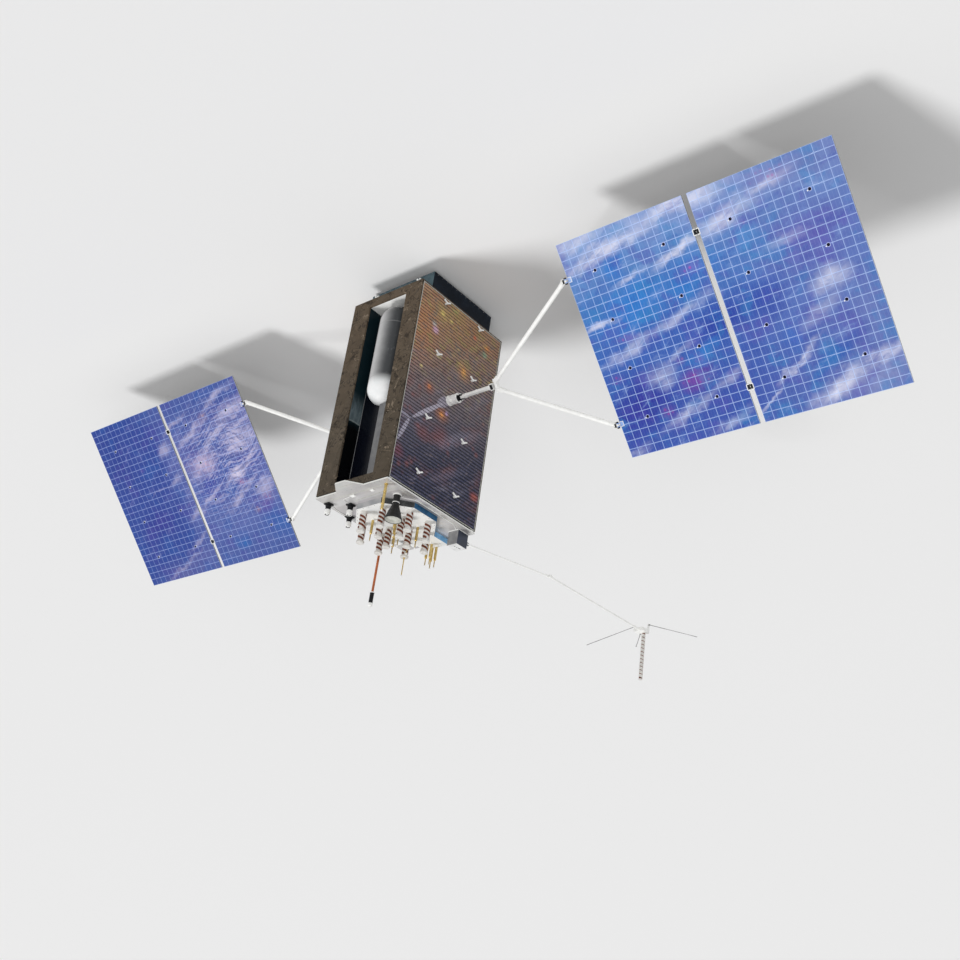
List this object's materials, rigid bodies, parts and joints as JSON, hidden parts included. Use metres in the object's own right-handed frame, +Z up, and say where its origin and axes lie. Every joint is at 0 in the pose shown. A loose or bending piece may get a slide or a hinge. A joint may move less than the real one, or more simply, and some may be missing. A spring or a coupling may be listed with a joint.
{
  "type": "navigation satellite",
  "caption": "Box-bodied navigation satellite with an open tank bay, an antenna farm, two folding solar wings and a folding antenna mast.",
  "frame": {"origin": "centre of the launch ring's foot, on the floor", "axes": "+Z up out of the launch ring towards the antenna deck, X along the axis of the two wings, open tank bay towards -Y"},
  "size_m": [16.082, 6.7046, 5.46],
  "materials": {
    "machined_metal": "satin machined",
    "dark_skirt": "dark satin",
    "engine_alloy": "heat tinted",
    "brown_blanket": "mottled blanket",
    "deck_panel": "satin",
    "mirror_radiator": "dark ribbed mirror",
    "bay_dark": "dark glossy",
    "bay_light": "satin",
    "white_tank": "satin white",
    "grey_duct": "satin grey",
    "white_panel": "satin white",
    "helical_wrap": "white with red-brown wrap",
    "gold_rod": "satin gold",
    "copper_rod": "satin copper",
    "dark_horn": "dark satin",
    "white_sensor": "white and black",
    "white_fitting": "satin white",
    "mast_box_paint": "satin grey",
    "white_tube": "satin white",
    "whip_metal": "satin",
    "white_housing": "satin white",
    "black_collar": "satin black",
    "solar_cells": "blue glass over cells"
  },
  "bodies": {
    "bus": {"aft_deck": "brown_blanket", "aft_skirt": "dark_skirt", "aft_thrusters": "white_fitting", "antenna_platform": "white_panel", "apogee_engine": "engine_alloy", "bay_back_wall": "bay_dark", "bay_duct": "grey_duct", "bay_end_aft": "bay_light", "bay_end_earth": "bay_dark", "bay_wall_minus_x": "bay_dark", "bay_wall_plus_x": "bay_dark", "deck_sensors": "white_sensor", "earth_deck": "deck_panel", "front_frame": "brown_blanket", "helical_antennas_inner": "helical_wrap", "helical_antennas_outer": "helical_wrap", "horn_sensor": "dark_horn", "launch_ring": "machined_metal", "long_rod_antenna": "copper_rod", "mast_box": "mast_box_paint", "radiator_minus_x": "mirror_radiator", "radiator_plus_x": "mirror_radiator", "rear_panel": "brown_blanket", "rod_antennas": "gold_rod", "side_fittings_minus_x": "white_fitting", "side_fittings_plus_x": "white_fitting", "tank": "white_tank", "wing_drive_minus_x": "white_housing", "wing_drive_plus_x": "white_housing"},
    "wing_minus_x_collar": {"wing_collar_minus_x": "black_collar"},
    "wing_minus_x_boom": {"wing_boom_minus_x": "white_tube"},
    "wing_minus_x_yoke": {"wing_yoke_minus_x": "white_tube"},
    "wing_minus_x_inner": {"inner_panel_minus_x": "solar_cells"},
    "wing_minus_x_outer": {"outer_panel_minus_x": "solar_cells"},
    "wing_plus_x_collar": {"wing_collar_plus_x": "black_collar"},
    "wing_plus_x_boom": {"wing_boom_plus_x": "white_tube"},
    "wing_plus_x_yoke": {"wing_yoke_plus_x": "white_tube"},
    "wing_plus_x_inner": {"inner_panel_plus_x": "solar_cells"},
    "wing_plus_x_outer": {"outer_panel_plus_x": "solar_cells"},
    "mast_inner": {"mast_inner_arm": "white_tube"},
    "mast_outer": {"mast_outer_arm": "white_tube", "mast_head": "white_fitting", "mast_helix": "helical_wrap", "mast_whips": "whip_metal"}
  },
  "joints": [
    {"name": "wing_minus_x_spin", "type": "hinge", "parent": "bus", "child": "wing_minus_x_collar", "pos_m": [-0.99, 0, 2.215], "axis": [1, 0, 0], "continuous": true},
    {"name": "wing_minus_x_fold", "type": "hinge", "parent": "wing_minus_x_collar", "child": "wing_minus_x_boom", "pos_m": [-1.045, 0, 2.215], "axis": [0, 0.699, 0.7151], "range_deg": [0, 90]},
    {"name": "wing_minus_x_apex_fold", "type": "hinge", "parent": "wing_minus_x_boom", "child": "wing_minus_x_yoke", "pos_m": [-1.738, 0.03218, 2.18354], "axis": [0, 0.699, 0.7151], "range_deg": [-180, 0]},
    {"name": "wing_minus_x_edge_fold", "type": "hinge", "parent": "wing_minus_x_yoke", "child": "wing_minus_x_inner", "pos_m": [-3.64, -0.03218, 2.24646], "axis": [0, 0.699, 0.7151], "range_deg": [0, 180]},
    {"name": "wing_minus_x_gap_fold", "type": "hinge", "parent": "wing_minus_x_inner", "child": "wing_minus_x_outer", "pos_m": [-5.853, 0.01788, 2.19752], "axis": [0, 0.699, 0.7151], "range_deg": [-180, 0]},
    {"name": "wing_plus_x_spin", "type": "hinge", "parent": "bus", "child": "wing_plus_x_collar", "pos_m": [0.99, 0, 2.215], "axis": [1, 0, 0], "continuous": true},
    {"name": "wing_plus_x_fold", "type": "hinge", "parent": "wing_plus_x_collar", "child": "wing_plus_x_boom", "pos_m": [1.045, 0, 2.215], "axis": [0, -0.699, -0.7151], "range_deg": [0, 90]},
    {"name": "wing_plus_x_apex_fold", "type": "hinge", "parent": "wing_plus_x_boom", "child": "wing_plus_x_yoke", "pos_m": [1.738, 0.03218, 2.18354], "axis": [0, -0.699, -0.7151], "range_deg": [-180, 0]},
    {"name": "wing_plus_x_edge_fold", "type": "hinge", "parent": "wing_plus_x_yoke", "child": "wing_plus_x_inner", "pos_m": [3.64, -0.03218, 2.24646], "axis": [0, -0.699, -0.7151], "range_deg": [0, 180]},
    {"name": "wing_plus_x_gap_fold", "type": "hinge", "parent": "wing_plus_x_inner", "child": "wing_plus_x_outer", "pos_m": [5.853, 0.01788, 2.19752], "axis": [0, -0.699, -0.7151], "range_deg": [-180, 0]},
    {"name": "mast_root_fold", "type": "hinge", "parent": "bus", "child": "mast_inner", "pos_m": [-0.643, 1.062, 4.31], "axis": [0, 0, -1], "range_deg": [0, 107.41]},
    {"name": "mast_elbow_fold", "type": "hinge", "parent": "mast_inner", "child": "mast_outer", "pos_m": [-1.16463, 2.62502, 4.31], "axis": [0, 0, 1], "range_deg": [0, 194.4]}
  ],
  "couplings": [
    {"joint": "wing_minus_x_apex_fold", "follows": "wing_minus_x_fold", "ratio": -2},
    {"joint": "wing_minus_x_edge_fold", "follows": "wing_minus_x_fold", "ratio": 2},
    {"joint": "wing_minus_x_gap_fold", "follows": "wing_minus_x_fold", "ratio": -2},
    {"joint": "wing_plus_x_apex_fold", "follows": "wing_plus_x_fold", "ratio": -2},
    {"joint": "wing_plus_x_edge_fold", "follows": "wing_plus_x_fold", "ratio": 2},
    {"joint": "wing_plus_x_gap_fold", "follows": "wing_plus_x_fold", "ratio": -2},
    {"joint": "mast_elbow_fold", "follows": "mast_root_fold", "ratio": 1.8094}
  ]
}
